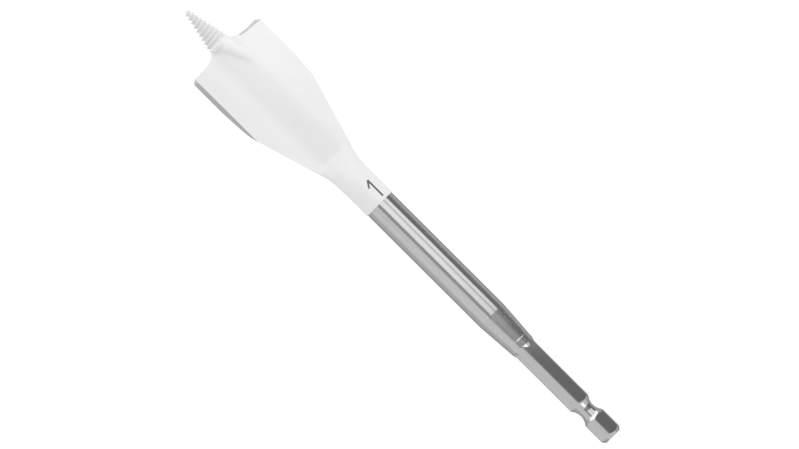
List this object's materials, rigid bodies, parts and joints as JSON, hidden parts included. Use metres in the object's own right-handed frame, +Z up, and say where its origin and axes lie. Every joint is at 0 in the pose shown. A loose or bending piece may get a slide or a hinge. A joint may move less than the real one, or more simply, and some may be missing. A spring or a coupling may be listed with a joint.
{
  "type": "spade drill bit",
  "caption": "Flat wood-boring bit: a contoured paddle with ground cutting edges and a threaded feed screw, on a round neck and a hex drive shank.",
  "frame": {"origin": "centre of the hex shank's end face, on the bit's axis", "axes": "+X along the axis towards the screw point, +Z up as the bit lies on its neck and one wing corner"},
  "size_m": [0.1618, 0.0254, 0.0096],
  "materials": {
    "coated_steel": "satin white coating on the paddle and neck, bare satin steel on the shank and ground edges"
  },
  "bodies": {
    "root": {"spade_bit": "coated_steel"}
  },
  "joints": []
}
